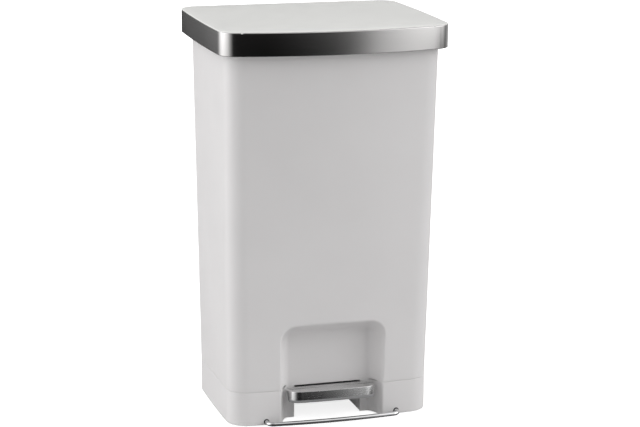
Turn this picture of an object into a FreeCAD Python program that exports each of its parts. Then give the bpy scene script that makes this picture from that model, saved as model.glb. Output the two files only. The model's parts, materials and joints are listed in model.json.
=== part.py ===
import FreeCAD, Part

import math
import os

import Sketcher
from FreeCAD import Placement, Rotation, Vector

# Pedal bin of about 50 litres, in millimetres. The origin is on the floor under the middle of the
# bin, +Z is up, the pedal is at -Y and the hinge is at +Y.
SIZES = {
    # heights
    "foot_height": 1.5,
    "skirt_top": 57,
    "lid_bottom": 608,
    "rim_top": 628,
    "band_top": 644.6,
    "overall_height": 650,
    # lid outline between its sharp corners
    "lid_width": 372,
    "lid_front": -139,
    "lid_back": 165,
    "lid_front_bow": 26,
    "lid_side_bow": 3.5,
    "lid_corner": 30,
    "band_thickness": 1,
    "lid_wall": 2.5,
    # tub outline at the lid and at the base
    "top_width": 349,
    "top_front": -129,
    "top_back": 140,
    "top_front_bow": 22,
    "base_width": 334.5,
    "base_front": -113,
    "base_back": 124,
    "base_front_bow": 7,
    "tub_side_bow": 2.2,
    "tub_corner": 35,
    "wall": 2.5,
    "rim_lip": 3.5,
    "rim_lip_height": 6,
    # toe recess
    "recess_width": 174,
    "recess_depth_width": 144,
    "recess_mouth": -121,
    "recess_back": -90,
    "recess_top": 162,
    "recess_back_top": 147,
    "recess_corner": 24,
    "notch_width": 113,
    "deck_bottom": 55.5,
    "tunnel_wall": 3,
    "tunnel_back": 6,
    # pedal
    "pivot_across": -10,
    "pivot_height": 30,
    "pedal_rest_angle": 6.92,
    "pedal_width": 147,
    "pedal_arm_width": 107,
    "axle_radius": 4,
    "axle_length": 131,
    "hub_radius": 9,
    "running_fit": 0.05,
    "lever_width": 20,
    "lever_thickness": 6,
    "cover_thickness": 0.8,
    # push rod line, parallel to the back wall
    "rod_base_across": 114,
    "rod_radius": 3,
    "rod_foot_radius": 5,
    "rod_tip_radius": 4,
    "trunk_width": 34,
    "trunk_bottom": 60.3,
    "trunk_top": 580,
    # lid hinge and cam
    "hinge_across": 152,
    "hinge_height": 612,
    "hinge_pin_radius": 2.5,
    "hinge_barrel": 6,
    "lid_travel": 78,
    "cam_start_angle": 0.45,
    "cam_width": 10,
    "liner_bottom": 634,
    "liner_thickness": 2.5,
    "ring_skirt": 14,
    "ring_rear": 97,
    "working_gap": 0.4,
    # front foot bar
    "bar_radius": 3.5,
    "bar_height": 7,
    "bar_half_width": 110,
    "bar_front": -138,
    "bar_bow": 5,
    "bar_bend": 10,
    "bar_end": -60,
    "grommet_radius": 4.6,
    # screws
    "screw_radius": 2,
    "screw_head_radius": 4,
    "screw_head_height": 2.4,
}

doc = FreeCAD.newDocument("PedalBin")
sheet = doc.addObject("Spreadsheet::Sheet", "Sizes")
for row, (alias, value) in enumerate(SIZES.items(), start=1):
    sheet.set(f"A{row}", alias)
    sheet.set(f"B{row}", str(value))
    sheet.setAlias(f"B{row}", alias)
doc.recompute()

nodes = []


def size(alias):
    """A driving dimension, read from the sheet."""
    return float(sheet.get(alias))


def node(piece, label):
    """Name a finished piece and list it for export."""
    piece.Label = label
    nodes.append(piece)
    return piece


def bind(feature, **sizes):
    """Tie properties to sheet expressions."""
    for name, expression in sizes.items():
        feature.setExpression(name, expression)
    return feature


def move(feature, across, along, up):
    """Tie the base point of a placement to sheet expressions."""
    feature.setExpression("Placement.Base.x", across)
    feature.setExpression("Placement.Base.y", along)
    feature.setExpression("Placement.Base.z", up)
    return feature


# ---------------------------------------------------------------- primitives and booleans

ALONG_X = Rotation(Vector(0, 1, 0), 90)
ALONG_Y = Rotation(Vector(1, 0, 0), -90)
UPRIGHT = Rotation()


def block(name, width, depth, height, x, y, z):
    """A box from its lower left front corner."""
    box = bind(doc.addObject("Part::Box", name), Length=width, Width=depth, Height=height)
    return move(box, x, y, z)


def cylinder(name, radius, length, x, y, z, turn=UPRIGHT):
    """A round bar that starts at a point and runs along its turned Z axis."""
    bar = bind(doc.addObject("Part::Cylinder", name), Radius=radius, Height=length)
    bar.Placement = Placement(Vector(), turn)
    return move(bar, x, y, z)


def fuse(name, pieces):
    joined = doc.addObject("Part::MultiFuse", name)
    joined.Shapes = pieces
    return joined


def cut(name, base, tool):
    removed = doc.addObject("Part::Cut", name)
    removed.Base = base
    removed.Tool = tool
    return removed


def group(name, pieces):
    """Separate solids in one node."""
    compound = doc.addObject("Part::Compound", name)
    compound.Links = pieces
    return compound


def screw(name, length, place):
    """A pan-head screw; its head sits below the placement and its shank runs along +Z."""
    head = cylinder(f"{name}_head", "Sizes.screw_head_radius", "Sizes.screw_head_height",
                    "0", "0", "-Sizes.screw_head_height")
    shank = cylinder(f"{name}_shank", "Sizes.screw_radius", length, "0", "0", "0")
    joined = fuse(name, [head, shank])
    joined.Placement = place
    return joined


def screw_holes(name, length, places, fit="Sizes.running_fit"):
    """Clearance holes on the lines of a set of screws."""
    holes = []
    for number, place in enumerate(places):
        hole = doc.addObject("Part::Cylinder", f"{name}_{number}")
        bind(hole, Radius=f"Sizes.screw_radius + {fit}", Height=length)
        hole.Placement = place
        holes.append(hole)
    return fuse(name, holes)


# ---------------------------------------------------------------- sketched bodies

def new_body(label):
    return node(doc.addObject("PartDesign::Body", label), label)


def add_sketch(body, plane, offset="0"):
    """A sketch on one of the body's own origin planes, shifted along its normal."""
    sketch = body.newObject("Sketcher::SketchObject", "outline")
    origin = next(part for part in body.Origin.OriginFeatures if part.Role == plane)
    sketch.AttachmentSupport = [(origin, "")]
    sketch.MapMode = "FlatFace"
    sketch.setExpression("AttachmentOffset.Base.z", offset)
    return sketch


def lock_point(sketch, edge, end, x, y):
    """Hold one end of an edge at sheet expressions from the sketch origin."""
    axes = (("DistanceX", x, -2), ("DistanceY", y, -1))
    for kind, expression, axis in axes:
        value = float(sketch.evalExpression(expression))
        if abs(value) < 1e-9:
            sketch.addConstraint(Sketcher.Constraint("PointOnObject", edge, end, axis))
        else:
            index = sketch.addConstraint(Sketcher.Constraint(kind, -1, 1, edge, end, value))
            sketch.setExpression(f"Constraints[{index}]", expression)


def draw_polygon(sketch, corners):
    """A closed outline of straight edges; each corner is a pair of expressions."""
    first = sketch.GeometryCount
    spots = [Vector(float(sketch.evalExpression(x)), float(sketch.evalExpression(y)), 0)
             for x, y in corners]
    for start, end in zip(spots, spots[1:] + spots[:1]):
        sketch.addGeometry(Part.LineSegment(start, end))
    for index, (x, y) in enumerate(corners):
        before = first + (index - 1) % len(corners)
        sketch.addConstraint(Sketcher.Constraint("Coincident", before, 2, first + index, 1))
        lock_point(sketch, first + index, 1, x, y)


def draw_circle(sketch, x, y, radius):
    centre = Vector(float(sketch.evalExpression(x)), float(sketch.evalExpression(y)), 0)
    value = float(sketch.evalExpression(radius))
    edge = sketch.addGeometry(Part.Circle(centre, Vector(0, 0, 1), value))
    lock_point(sketch, edge, 3, x, y)
    index = sketch.addConstraint(Sketcher.Constraint("Radius", edge, value))
    sketch.setExpression(f"Constraints[{index}]", radius)


def pad(body, sketch, length, both_ways=False):
    feature = body.newObject("PartDesign::Pad", "pad")
    feature.Profile = sketch
    feature.setExpression("Length", length)
    feature.SideType = "Symmetric" if both_ways else "One side"
    return feature


def pocket(body, sketch, length, both_ways=False, backwards=False):
    """Cut a sketch out of a body, and make sure that it removed something."""
    doc.recompute()
    before = body.Shape.Volume
    feature = body.newObject("PartDesign::Pocket", "pocket")
    feature.Profile = sketch
    feature.setExpression("Length", length)
    feature.SideType = "Symmetric" if both_ways else "One side"
    feature.Reversed = backwards
    doc.recompute()
    if body.Shape.Volume > before - 1e-6:
        raise ValueError(f"{body.Label}: a pocket removed nothing")
    return feature


# ---------------------------------------------------------------- bowed outlines and shells

def bowed_edge(start, end, bow):
    if bow.Length < 1e-9:
        return Part.LineSegment(start, end).toShape()
    return Part.Arc(start, (start + end) * 0.5 + bow, end).toShape()


def rounded_outline(half_width, front, back, front_bow, side_bow, corner, level):
    """A closed level wire: bowed front and sides, straight back, rounded corners."""
    left_front = Vector(-half_width, front, level)
    right_front = Vector(half_width, front, level)
    right_back = Vector(half_width, back, level)
    left_back = Vector(-half_width, back, level)
    sharp = Part.Wire([
        bowed_edge(left_front, right_front, Vector(0, -front_bow, 0)),
        bowed_edge(right_front, right_back, Vector(side_bow, 0, 0)),
        bowed_edge(right_back, left_back, Vector()),
        bowed_edge(left_back, left_front, Vector(-side_bow, 0, 0)),
    ])
    slab = Part.Face(sharp).extrude(Vector(0, 0, 10))
    upright = [edge for edge in slab.Edges
               if edge.BoundBox.XLength < 1e-6 and edge.BoundBox.YLength < 1e-6]
    slab = slab.makeFillet(corner, upright)
    return min(slab.Faces, key=lambda face: face.CenterOfMass.z).OuterWire


def tub_outline(level, inset=0.0):
    """Outline of the tub: tapered above the parting line, vertical below it."""
    rise = (level - size("skirt_top")) / (size("lid_bottom") - size("skirt_top"))
    rise = max(rise, 0.0)
    half_width = (size("base_width") + rise * (size("top_width") - size("base_width"))) / 2
    front = size("base_front") + rise * (size("top_front") - size("base_front"))
    back = size("base_back") + rise * (size("top_back") - size("base_back"))
    bow = size("base_front_bow") + rise * (size("top_front_bow") - size("base_front_bow"))
    return rounded_outline(half_width - inset, front + inset, back - inset, bow,
                           size("tub_side_bow"), size("tub_corner") - inset, level)


def lid_outline(level, inset=0.0):
    """Outline of the lid, drawn in by an inset that also flattens its bows."""
    half_width = size("lid_width") / 2 - inset
    share = half_width / (size("lid_width") / 2)
    return rounded_outline(half_width, size("lid_front") + inset, size("lid_back") - inset,
                           size("lid_front_bow") * share, size("lid_side_bow") * share,
                           max(size("lid_corner") - inset, 8), level)


def ruled_face(below, above):
    """Face between two matching edges; a true plane where both are straight."""
    if below.Curve.TypeId != "Part::GeomLine":
        return Part.makeRuledSurface(below, above)
    start, end = [vertex.Point for vertex in below.Vertexes]
    far_start, far_end = [vertex.Point for vertex in above.Vertexes]
    if (end - start).dot(far_end - far_start) < 0:
        far_start, far_end = far_end, far_start
    return Part.Face(Part.makePolygon([start, end, far_end, far_start, start]))


def loft(*wires):
    """A solid with ruled sides between outlines that have matching edges."""
    faces = [Part.Face(wires[0]), Part.Face(wires[-1])]
    for lower, upper in zip(wires, wires[1:]):
        faces += [ruled_face(*pair) for pair in zip(lower.Edges, upper.Edges)]
    shell = Part.makeShell(faces)
    shell.sewShape()
    solid = Part.makeSolid(shell)
    if solid.Volume < 0:
        solid.reverse()
    return solid


def prism(wire, height):
    return Part.Face(wire).extrude(Vector(0, 0, height))


def solid_box(low, high):
    return Part.makeBox(high.x - low.x, high.y - low.y, high.z - low.z, low)


def shaped(label, shape):
    """A sub-part whose shape comes from outlines that follow the bows."""
    feature = doc.addObject("Part::Feature", label)
    feature.Shape = shape
    feature.Placement = Placement()
    return node(feature, label)


def recess_cavity(grow=0.0):
    """The toe recess: a funnel that narrows to its back wall, open downwards."""
    mouth = size("recess_mouth")
    back = size("recess_back")
    run = back - mouth
    side_slope = (size("recess_width") - size("recess_depth_width")) / 2 / run
    top_slope = (size("recess_top") - size("recess_back_top")) / run
    outside = mouth - 40

    def section(depth):
        ahead = back - depth
        half = size("recess_depth_width") / 2 + side_slope * ahead + grow
        top = size("recess_back_top") + top_slope * ahead + grow
        corner = size("recess_corner") * half / (size("recess_width") / 2)
        spots = {side: [Vector(side * half, depth, -10), Vector(side * half, depth, top - corner),
                        Vector(side * (half - corner * (1 - math.sqrt(0.5))), depth,
                               top - corner * (1 - math.sqrt(0.5))),
                        Vector(side * (half - corner), depth, top)] for side in (-1, 1)}
        left, right = spots[-1], spots[1]
        return Part.Wire([
            Part.LineSegment(left[0], left[1]).toShape(), Part.Arc(*left[1:]).toShape(),
            Part.LineSegment(left[3], right[3]).toShape(), Part.Arc(*right[:0:-1]).toShape(),
            Part.LineSegment(right[1], right[0]).toShape(),
            Part.LineSegment(right[0], left[0]).toShape(),
        ])

    return loft(section(back + grow), section(outside))


# ---------------------------------------------------------------- lines that the motion follows

rod_slope = (size("top_back") - size("base_back")) / (size("lid_bottom") - size("skirt_top"))
rod_tilt = math.atan(rod_slope)
rod_direction = Vector(0, math.sin(rod_tilt), math.cos(rod_tilt))
rod_turn = Rotation(Vector(1, 0, 0), -math.degrees(rod_tilt))
wall_normal = Vector(0, math.cos(rod_tilt), -math.sin(rod_tilt))
inward_turn = Rotation(Vector(0, 0, 1), wall_normal * -1)


def rod_point(level):
    """Point of the push rod's line at a height."""
    return Vector(0, size("rod_base_across") + (level - size("skirt_top")) * rod_slope, level)


def back_wall_point(x, level, depth=0.0):
    """Point of the tub's outer back face, square to the rod's line at a height, or behind it."""
    reach = (size("base_back") - size("rod_base_across")) * math.cos(rod_tilt)
    return rod_point(level) + Vector(x, 0, 0) + wall_normal * (reach + depth)


hinge_centre = Vector(0, size("hinge_across"), size("hinge_height"))
rod_reach = (hinge_centre - rod_point(size("hinge_height"))).dot(wall_normal)
contact_start = rod_reach * size("cam_start_angle")
tip_apex = hinge_centre - wall_normal * rod_reach + rod_direction * (
    contact_start - size("working_gap"))

pedal_pivot = Vector(0, size("pivot_across"), size("pivot_height"))
rest_angle = math.radians(size("pedal_rest_angle"))
pedal_place = Placement(pedal_pivot, Rotation(Vector(1, 0, 0), -size("pedal_rest_angle")))

# The rod's round foot rests on the lever's flat top: height of its centre on the rod line.
foot_lift = size("lever_thickness") / 2 + size("rod_foot_radius") + size("working_gap")
foot_level = (
    foot_lift
    + size("pivot_height") * math.cos(rest_angle)
    - (rod_point(0).y - size("pivot_across")) * math.sin(rest_angle)
) / (rod_slope * math.sin(rest_angle) + math.cos(rest_angle))
foot_centre = rod_point(foot_level)
rod_length = (tip_apex - foot_centre).Length
rod_place = Placement(foot_centre, rod_turn)

lever_screw_spots = (-65, -35)
base_screw_places = [Placement(Vector(x, y, size("deck_bottom")), UPRIGHT)
                     for x in (-135, 135) for y in (-72, 88)]
foot_spots = [(x, y) for x in (-142, 142) for y in (-90, 98)]
clamp_spots = (-size("bar_half_width"), size("bar_half_width"))
clamp_across = -75
clamp_screw_places = [Placement(Vector(side + offset, clamp_across, 3), UPRIGHT)
                      for side in clamp_spots for offset in (-8, 8)]
bracket_screw_places = [Placement(back_wall_point(x, 597, size("wall")), inward_turn)
                        for x in (-62, -24, 24, 62)]
trunk_screw_places = [Placement(back_wall_point(x, level), inward_turn)
                      for x in (-23, 23) for level in (110, 540)]
lid_screw_places = [Placement(Vector(x, y, size("liner_bottom")), UPRIGHT)
                    for x in (-145, 145) for y in (-95, 115)]


# ---------------------------------------------------------------- tub

def hole_shapes(places, start, length, radius):
    """Round tools on the lines of placements."""
    tools = []
    for place in places:
        tool = Part.makeCylinder(radius, length, Vector(0, 0, start))
        tool.Placement = place
        tools.append(tool)
    return tools


def make_body_shell():
    """Tapered tub with its floor, toe recess, rolled rim and screw towers."""
    wall = size("wall")
    skirt_top = size("skirt_top")
    rim_top = size("rim_top")
    floor_top = skirt_top + 3
    outer = loft(tub_outline(skirt_top), tub_outline(rim_top))
    lip_low = rim_top - size("rim_lip_height")
    lip = prism(tub_outline(lip_low, -size("rim_lip")), size("rim_lip_height"))
    inner = loft(tub_outline(floor_top, wall), tub_outline(rim_top + 2, wall))
    shell = outer.fuse(lip).cut(recess_cavity())
    shell = shell.cut(inner.cut(recess_cavity(wall)))
    towers = [Part.makeCylinder(6, 14, place.Base + Vector(0, 0, 4)) for place in base_screw_places]
    shell = shell.fuse(towers)
    holes = hole_shapes(base_screw_places, 0, 15, size("screw_radius") + size("running_fit"))
    holes += hole_shapes(bracket_screw_places, 0, 12, size("screw_radius") + size("running_fit"))
    holes += hole_shapes(trunk_screw_places, -1, 6, size("screw_radius") + size("running_fit"))
    holes.append(Part.makeCylinder(8, 10, rod_point(skirt_top) - Vector(0, 0, 5)))
    holes.append(solid_box(Vector(-9, 120, rim_top - 14), Vector(9, 150, rim_top + 5)))
    return shaped("body_shell", shell.cut(holes))


def make_base_frame():
    """Skirt below the parting line: legs, pedal tunnel with axle holes, deck and ribs."""
    bottom = size("foot_height")
    deck = size("deck_bottom")
    top = size("skirt_top")
    half_notch = size("notch_width") / 2
    thick = size("tunnel_wall")
    outer = prism(tub_outline(bottom), top - bottom).cut(recess_cavity())
    inner = prism(tub_outline(bottom, thick), deck - bottom).cut(recess_cavity(thick))
    frame = outer.cut(inner)
    front = size("recess_back")
    walls = [solid_box(Vector(side, front + 1, bottom),
                       Vector(side + thick, size("tunnel_back"), deck + 0.5))
             for side in (-half_notch - thick, half_notch)]
    ribs = [solid_box(Vector(side - 13, clamp_across - 4, size("bar_height") + size("bar_radius")),
                      Vector(side + 13, clamp_across + 4, deck + 0.5)) for side in clamp_spots]
    corner_low = [Vector(-170, 80, bottom), Vector(122, 80, bottom),
                  Vector(-170, -130, bottom), Vector(122, -130, bottom)]
    plates = [solid_box(low, low + Vector(48, 50, 3)).common(outer) for low in corner_low]
    frame = frame.fuse(walls + ribs + plates)
    fit = size("running_fit")
    cuts = [solid_box(Vector(-half_notch, front - 6, -1), Vector(half_notch, front + 6, deck))]
    cuts.append(Part.makeCylinder(size("axle_radius") + fit, 140,
                                  pedal_pivot - Vector(70, 0, 0), Vector(1, 0, 0)))
    cuts.append(Part.makeCylinder(8, 10, rod_point(top) - Vector(0, 0, 5)))
    cuts += [Part.makeCylinder(size("grommet_radius"), 40,
                               Vector(side, -135, size("bar_height")), Vector(0, 1, 0))
             for side in clamp_spots]
    cuts += [Part.makeCylinder(4, 8, Vector(x, y, 0)) for x, y in foot_spots]
    cuts += hole_shapes(base_screw_places, -1, 15, size("screw_radius") + fit)
    cuts += hole_shapes(clamp_screw_places, 0, 22, size("screw_radius") + fit)
    return shaped("base_frame", frame.cut(cuts))


def make_base_screws():
    screws = [screw(f"base_screw_{number}", "14", place)
              for number, place in enumerate(base_screw_places)]
    return node(group("base_screws", screws), "base_screws")


def make_rubber_feet():
    """Four pads with plugs pushed into the corner plates."""
    feet = []
    for number, (x, y) in enumerate(foot_spots):
        sole = cylinder(f"sole_{number}", "9", "Sizes.foot_height", str(x), str(y), "0")
        plug = cylinder(f"plug_{number}", "4", "Sizes.foot_height + 4.5", str(x), str(y), "0")
        feet.append(fuse(f"foot_{number}", [sole, plug]))
    return node(group("rubber_feet", feet), "rubber_feet")


# ---------------------------------------------------------------- foot bar

def bar_path():
    """Centre line of the bar: two straight arms, two bends and a bowed front run."""
    half = size("bar_half_width")
    bend = size("bar_bend")
    bow = size("bar_bow")
    reach = half - bend
    front = size("bar_front")
    bow_radius = (reach ** 2 + bow ** 2) / (2 * bow)
    bow_centre = Vector(0, front + bow_radius, 0)
    bend_drop = math.sqrt((bow_radius - bend) ** 2 - reach ** 2)
    bend_centre = Vector(reach, bow_centre.y - bend_drop, 0)
    away = (bend_centre - bow_centre).normalize()
    touch = bow_centre + away * bow_radius
    middle = (away + Vector(1, 0, 0)).normalize()
    end = Vector(half, size("bar_end"), 0)
    turn = Vector(half, bend_centre.y, 0)
    mirror = FreeCAD.Matrix()
    mirror.A11 = -1
    right = [Part.LineSegment(end, turn), Part.Arc(turn, bend_centre + middle * bend, touch)]
    run = Part.Arc(touch, Vector(0, front, 0), mirror * touch)
    left = [Part.Arc(mirror * touch, mirror * (bend_centre + middle * bend), mirror * turn),
            Part.LineSegment(mirror * turn, mirror * end)]
    return right + [run] + left


def make_foot_bar():
    """Chromed rod, swept along its path and set at its height above the floor."""
    body = new_body("foot_bar")
    path = add_sketch(body, "XY_Plane")
    for piece in bar_path():
        path.addGeometry(piece)
    section = add_sketch(body, "XZ_Plane", "-Sizes.bar_end")
    draw_circle(section, "Sizes.bar_half_width", "0", "Sizes.bar_radius")
    doc.recompute()
    pipe = body.newObject("PartDesign::AdditivePipe", "pipe")
    pipe.Profile = section
    pipe.Spine = (path, [f"Edge{number}" for number in range(1, 6)])
    move(body, "0", "0", "Sizes.bar_height")


def make_grommets():
    """Rubber rings where the bar enters the skirt."""
    rings = []
    for number, side in enumerate(clamp_spots):
        sleeve = cylinder(f"grommet_body_{number}", "Sizes.grommet_radius", "6",
                          str(side), "-117", "Sizes.bar_height", ALONG_Y)
        bore = cylinder(f"grommet_bore_{number}", "Sizes.bar_radius", "20",
                        str(side), "-125", "Sizes.bar_height", ALONG_Y)
        rings.append(cut(f"grommet_{number}", sleeve, bore))
    return node(group("foot_bar_grommets", rings), "foot_bar_grommets")


def make_clamps():
    """Saddles that hold the bar's arms up against the frame's ribs."""
    saddles = []
    for number, side in enumerate(clamp_spots):
        strap = block(f"strap_{number}", "26", "8", "Sizes.bar_height + Sizes.bar_radius - 3",
                      str(side - 13), str(clamp_across - 4), "3")
        groove = cylinder(f"groove_{number}", "Sizes.bar_radius", "20",
                          str(side), str(clamp_across - 10), "Sizes.bar_height", ALONG_Y)
        slot = block(f"slot_{number}", "2 * Sizes.bar_radius", "20", "Sizes.bar_radius + 1",
                     str(side) + " - Sizes.bar_radius", str(clamp_across - 10), "Sizes.bar_height")
        opened = cut(f"opened_{number}", strap, fuse(f"channel_{number}", [groove, slot]))
        places = clamp_screw_places[2 * number:2 * number + 2]
        saddles.append(cut(f"clamp_{number}", opened, screw_holes(f"clamp_hole_{number}", "12", places)))
    return node(group("foot_bar_clamps", saddles), "foot_bar_clamps")


def make_clamp_screws():
    """Screws with thin heads, which stay above the floor."""
    screws = []
    for number, place in enumerate(clamp_screw_places):
        head = cylinder(f"clamp_head_{number}", "3.4", "1.2", str(place.Base.x), str(place.Base.y), "1.8")
        shank = cylinder(f"clamp_shank_{number}", "Sizes.screw_radius", "18",
                         str(place.Base.x), str(place.Base.y), "3")
        screws.append(fuse(f"clamp_screw_{number}", [head, shank]))
    return node(group("foot_bar_clamp_screws", screws), "foot_bar_clamp_screws")


# ---------------------------------------------------------------- pedal

PEDAL_PLAN = [
    ("-Sizes.pedal_width / 2", "-108"), ("-Sizes.pedal_width / 2", "-97"),
    ("-55", "-84"), ("-Sizes.pedal_arm_width / 2", "-82.5"), ("-Sizes.pedal_arm_width / 2", "12"),
    ("Sizes.pedal_arm_width / 2", "12"), ("Sizes.pedal_arm_width / 2", "-82.5"),
    ("55", "-84"), ("Sizes.pedal_width / 2", "-97"), ("Sizes.pedal_width / 2", "-108"),
    ("Sizes.pedal_width / 2 - 4", "-117"), ("Sizes.pedal_width / 2 - 12", "-124"),
    ("Sizes.pedal_width / 2 - 20", "-126.5"), ("20 - Sizes.pedal_width / 2", "-126.5"),
    ("12 - Sizes.pedal_width / 2", "-124"), ("4 - Sizes.pedal_width / 2", "-117"),
]


def pedal_blank(label):
    """Plan outline of the pedal, seen square to the lever, as a thick slab."""
    body = new_body(label)
    outline = add_sketch(body, "XY_Plane", "-20")
    draw_polygon(outline, PEDAL_PLAN)
    pad(body, outline, "40")
    body.Placement = pedal_place
    return body


def drill_lever_holes(body, start, depth):
    """Upward holes for the screws between lever and pedal."""
    for along in lever_screw_spots:
        hole = add_sketch(body, "XY_Plane", start)
        draw_circle(hole, "0", str(along), "Sizes.screw_radius + Sizes.running_fit")
        pocket(body, hole, depth, backwards=True)


def make_pedal_pad():
    """Moulded pedal: wide tread with a front lip, and an arm back to the axle."""
    body = pedal_blank("pedal_pad")
    above = add_sketch(body, "YZ_Plane")
    draw_polygon(above, [
        ("-140", "11.8 - Sizes.cover_thickness"), ("-84", "14.15 - Sizes.cover_thickness"),
        ("-20", "Sizes.hub_radius"), ("20", "Sizes.hub_radius"), ("20", "30"), ("-140", "30"),
    ])
    pocket(body, above, "200", both_ways=True)
    below = add_sketch(body, "YZ_Plane")
    draw_polygon(below, [
        ("-140", "-30"), ("20", "-30"), ("20", "-Sizes.hub_radius"),
        ("-9", "-Sizes.hub_radius"), ("-9", "Sizes.lever_thickness / 2"),
        ("-121", "Sizes.lever_thickness / 2"), ("-122.5", "-6.4"), ("-140", "-6.4"),
    ])
    pocket(body, below, "200", both_ways=True)
    front = add_sketch(body, "YZ_Plane")
    draw_polygon(front, [
        ("-140", "-20"), ("-121.75", "-20"), ("-125.8", "14"), ("-140", "14"),
    ])
    pocket(body, front, "200", both_ways=True)
    hub_gap = add_sketch(body, "YZ_Plane")
    draw_circle(hub_gap, "0", "0", "Sizes.hub_radius + 1")
    pocket(body, hub_gap, "Sizes.lever_width + 1", both_ways=True)
    tail = add_sketch(body, "YZ_Plane")
    draw_polygon(tail, [("0", "9.5"), ("6.4", "6.4"), ("9.5", "0"), ("6.4", "-6.4"), ("0", "-9.5"),
                        ("0", "-20"), ("20", "-20"), ("20", "20"), ("0", "20")])
    pocket(body, tail, "200", both_ways=True)
    bore = add_sketch(body, "YZ_Plane")
    draw_circle(bore, "0", "0", "Sizes.axle_radius + Sizes.running_fit")
    pocket(body, bore, "200", both_ways=True)
    drill_lever_holes(body, "-20", "28.2")


def make_pedal_cover():
    """Thin brushed cover over the tread and its front face."""
    body = pedal_blank("pedal_cover")
    inside = add_sketch(body, "YZ_Plane")
    draw_polygon(inside, [
        ("-140", "-30"), ("20", "-30"), ("20", "30"), ("-84", "30"),
        ("-84", "14.2 - Sizes.cover_thickness"), ("-125.6", "12.45 - Sizes.cover_thickness"),
        ("-123.95", "-1.9"), ("-140", "-1.9"),
    ])
    pocket(body, inside, "200", both_ways=True)
    outside = add_sketch(body, "YZ_Plane")
    draw_polygon(outside, [
        ("-140", "-1.9"), ("-123.95 - Sizes.cover_thickness", "-1.9"),
        ("-125.7 - Sizes.cover_thickness", "12.35"), ("-84", "14.2"), ("-84", "30"), ("-140", "30"),
    ])
    pocket(body, outside, "200", both_ways=True)


def make_pedal_lever():
    """Steel arm: tongue under the pedal, hub on the axle, long tail under the rod."""
    body = new_body("pedal_lever")
    strip = add_sketch(body, "YZ_Plane")
    draw_polygon(strip, [
        ("-76", "-Sizes.lever_thickness / 2"), ("129", "-Sizes.lever_thickness / 2"),
        ("129", "Sizes.lever_thickness / 2"), ("-76", "Sizes.lever_thickness / 2"),
    ])
    pad(body, strip, "Sizes.lever_width", both_ways=True)
    hub = add_sketch(body, "YZ_Plane")
    draw_circle(hub, "0", "0", "Sizes.hub_radius - 0.5")
    pad(body, hub, "Sizes.lever_width", both_ways=True)
    bore = add_sketch(body, "YZ_Plane")
    draw_circle(bore, "0", "0", "Sizes.axle_radius + Sizes.running_fit")
    pocket(body, bore, "200", both_ways=True)
    drill_lever_holes(body, "-20", "40")
    body.Placement = pedal_place


def make_lever_screws():
    below = -size("lever_thickness") / 2
    screws = [screw(f"lever_screw_{number}", "11", pedal_place * Placement(Vector(0, along, below), UPRIGHT))
              for number, along in enumerate(lever_screw_spots)]
    return node(group("pedal_lever_screws", screws), "pedal_lever_screws")


def make_pedal_axle():
    body = new_body("pedal_axle")
    ring = add_sketch(body, "YZ_Plane")
    draw_circle(ring, "0", "0", "Sizes.axle_radius")
    pad(body, ring, "Sizes.axle_length", both_ways=True)
    move(body, "0", "Sizes.pivot_across", "Sizes.pivot_height")


def make_axle_clips():
    """Push-on rings outside the tunnel walls."""
    clips = []
    start = "Sizes.notch_width / 2 + Sizes.tunnel_wall + 0.3"
    for number, edge in enumerate((f"-({start}) - 1.5", start)):
        disc = cylinder(f"clip_disc_{number}", "7.5", "1.5", edge,
                        "Sizes.pivot_across", "Sizes.pivot_height", ALONG_X)
        bore = cylinder(f"clip_bore_{number}", "Sizes.axle_radius", "10", edge + " - 4",
                        "Sizes.pivot_across", "Sizes.pivot_height", ALONG_X)
        clips.append(cut(f"clip_{number}", disc, bore))
    return node(group("axle_clips", clips), "axle_clips")


def make_pedal_buffers():
    """Rubber pads under the deck that stop the pedal's upward swing."""
    pads = [block(f"buffer_{number}", "12", "9", "2.6", x, "-86", "Sizes.deck_bottom - 2.6")
            for number, x in enumerate(("-41", "29"))]
    return node(group("pedal_buffers", pads), "pedal_buffers")


# ---------------------------------------------------------------- push rod

def make_push_rod():
    body = new_body("push_rod")
    ring = add_sketch(body, "XY_Plane")
    draw_circle(ring, "0", "0", "Sizes.rod_radius")
    pad(body, ring, f"{rod_length - 2 * size('rod_tip_radius')}")
    body.Placement = rod_place


def make_rod_foot():
    """Round nylon foot, pushed on the rod's lower end."""
    ball = doc.addObject("Part::Sphere", "foot_ball")
    bind(ball, Radius="Sizes.rod_foot_radius")
    sleeve = cylinder("foot_sleeve", "Sizes.rod_foot_radius", "12", "0", "0", "0")
    bore = cylinder("foot_bore", "Sizes.rod_radius", "30", "0", "0", "0")
    foot = cut("rod_foot", fuse("foot_blank", [ball, sleeve]), bore)
    foot.Placement = rod_place
    return node(foot, "rod_foot")


def make_rod_tip():
    """Round nylon cap on the rod's upper end; it pushes the lid cam."""
    radius = size("rod_tip_radius")
    ball = doc.addObject("Part::Sphere", "tip_ball")
    bind(ball, Radius="Sizes.rod_tip_radius")
    sleeve = cylinder("tip_sleeve", "Sizes.rod_tip_radius", "10", "0", "0", "-10")
    bore = cylinder("tip_bore", "Sizes.rod_radius", "30", "0", "0", "-30 - Sizes.rod_tip_radius")
    tip = cut("rod_tip", fuse("tip_blank", [ball, sleeve]), bore)
    tip.Placement = Placement(tip_apex - rod_direction * radius, rod_turn)
    return node(tip, "rod_tip")


def make_rod_guides():
    """Two blocks on the back wall that the rod slides in."""
    guides = []
    depth = "Sizes.base_back - Sizes.rod_base_across - Sizes.wall - 0.05"
    for number, level in enumerate((130, 555)):
        lump = block(f"guide_block_{number}", "26", f"{depth} + 7", "14", "-13", "-7", "0")
        bore = cylinder(f"guide_bore_{number}", "Sizes.rod_radius + Sizes.running_fit", "40",
                        "0", "0", "-10")
        guide = cut(f"guide_{number}", lump, bore)
        guide.Placement = Placement(rod_point(level), rod_turn)
        guides.append(guide)
    return node(group("rod_guides", guides), "rod_guides")


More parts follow.
